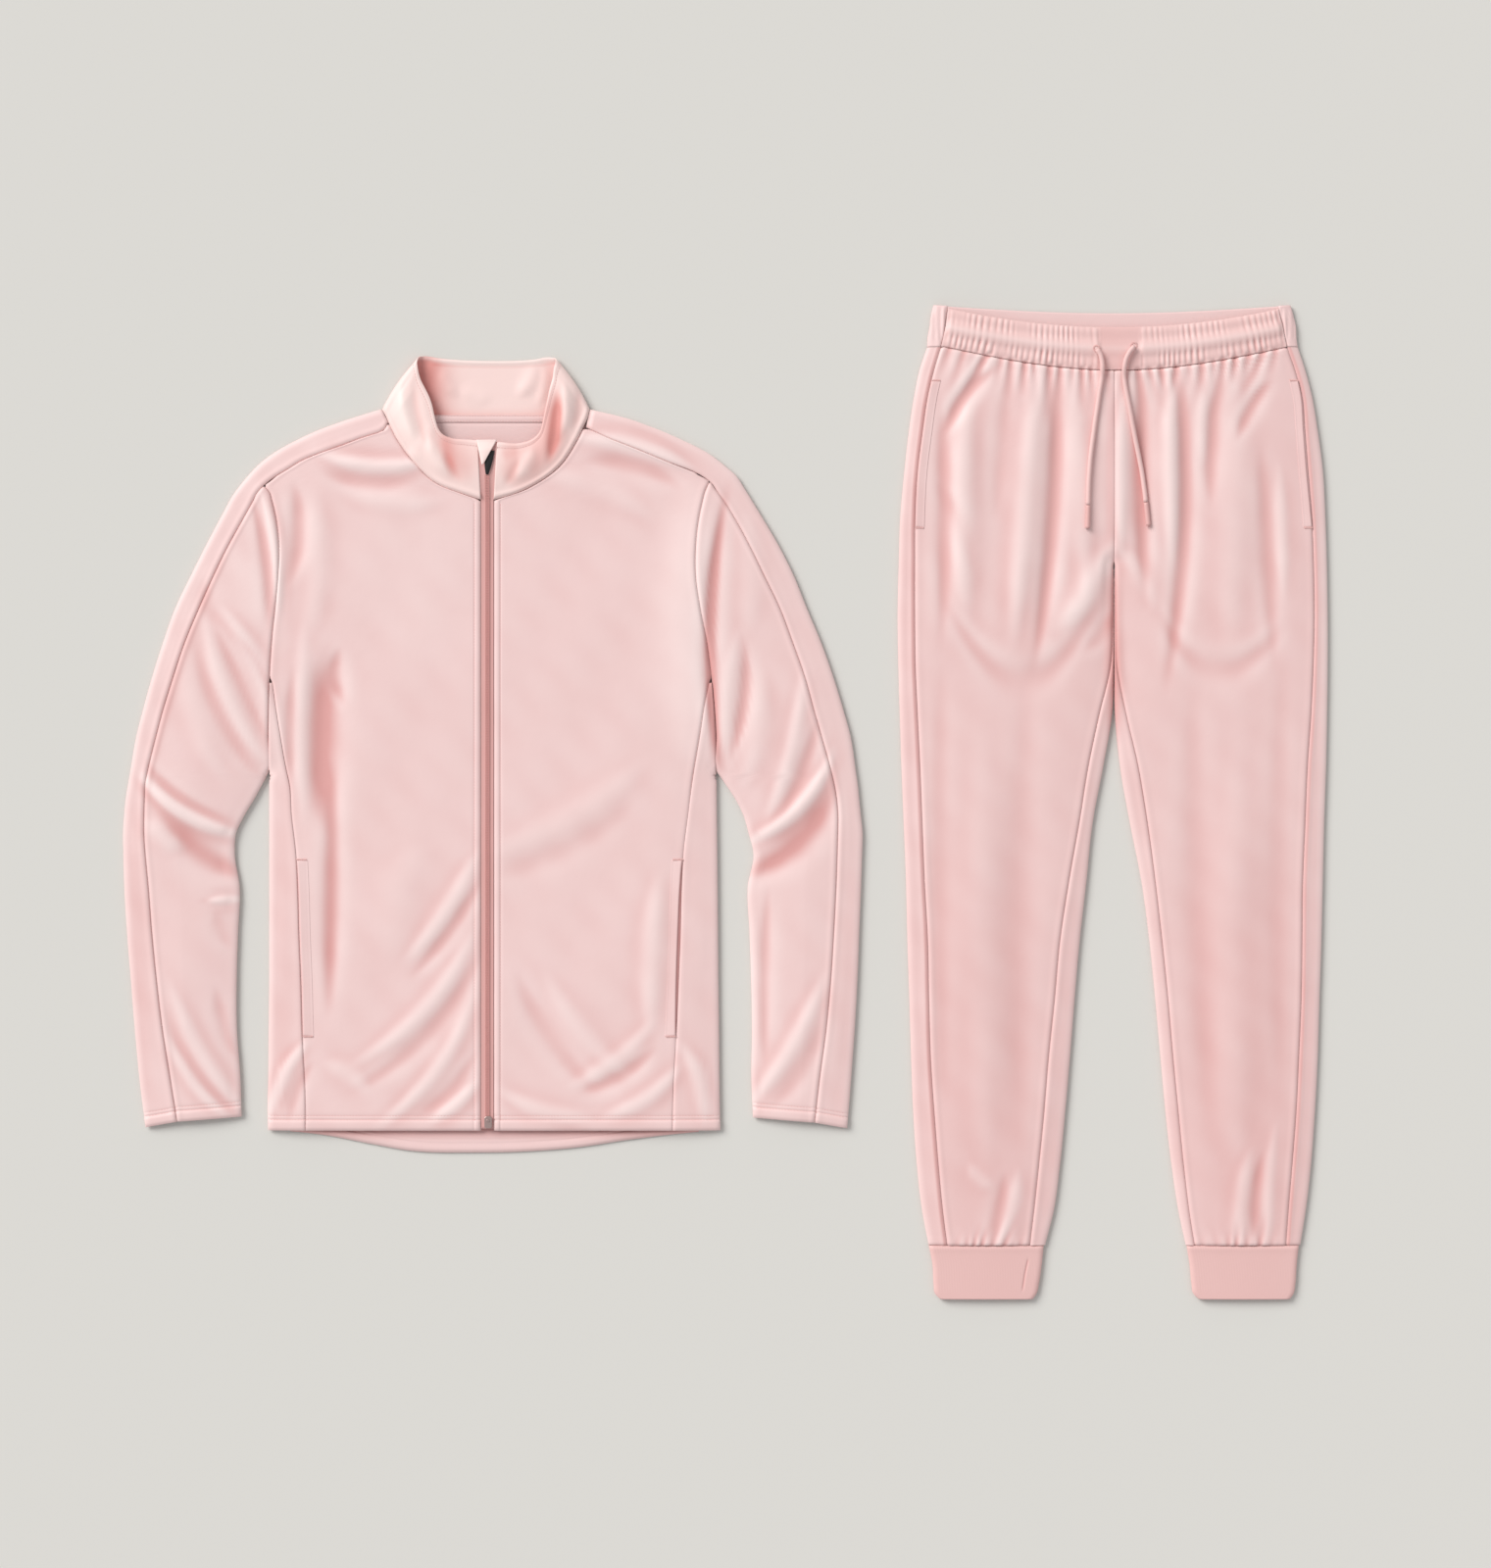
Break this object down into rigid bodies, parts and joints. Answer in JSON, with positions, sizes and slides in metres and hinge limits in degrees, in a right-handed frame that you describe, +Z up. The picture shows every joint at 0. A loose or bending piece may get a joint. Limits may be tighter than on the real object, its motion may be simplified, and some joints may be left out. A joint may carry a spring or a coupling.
{
  "type": "tracksuit",
  "caption": "Knit tracksuit laid flat: zip-front jacket with stand collar and drop tail, beside drawcord trousers with gathered waistband and ribbed ankle cuffs.",
  "frame": {"origin": "middle of the set's outline, on the surface that it lies on", "axes": "+X from the jacket to the trousers, +Y from the hems to the collar, +Z up through the garments' fronts"},
  "size_m": [1.228, 1.013, 0.0191],
  "materials": {
    "knit": "smooth satin knit",
    "rib_knit": "ribbed knit",
    "cord": "flat braided cord",
    "black_metal": "satin black",
    "pale_metal": "satin, colour matched"
  },
  "bodies": {
    "root": {"jacket_back": "knit", "jacket_front_right": "knit", "jacket_front_left": "knit", "jacket_side_panel_right": "knit", "jacket_side_panel_left": "knit", "shoulder_strip_right": "knit", "shoulder_strip_left": "knit", "sleeve_front_right": "knit", "sleeve_front_left": "knit", "sleeve_back_right": "knit", "sleeve_back_left": "knit", "collar": "knit", "back_neck_tape": "knit", "zip_tape_right": "knit", "zip_tape_left": "knit", "zip_slider": "black_metal", "zip_garage": "knit", "zip_box": "pale_metal", "jacket_pocket_welt_right": "knit", "jacket_pocket_welt_left": "knit", "leg_front_right": "knit", "leg_front_left": "knit", "leg_side_strip_right": "knit", "leg_side_strip_left": "knit", "leg_back_right": "knit", "leg_back_left": "knit", "waistband_back": "rib_knit", "waistband_front": "rib_knit", "trouser_pocket_welt_right": "knit", "trouser_pocket_welt_left": "knit", "ankle_cuff_right": "rib_knit", "ankle_cuff_left": "rib_knit", "drawcord_end_right": "cord", "drawcord_end_left": "cord", "drawcord_tip_right": "cord", "drawcord_tip_left": "cord"}
  },
  "joints": []
}
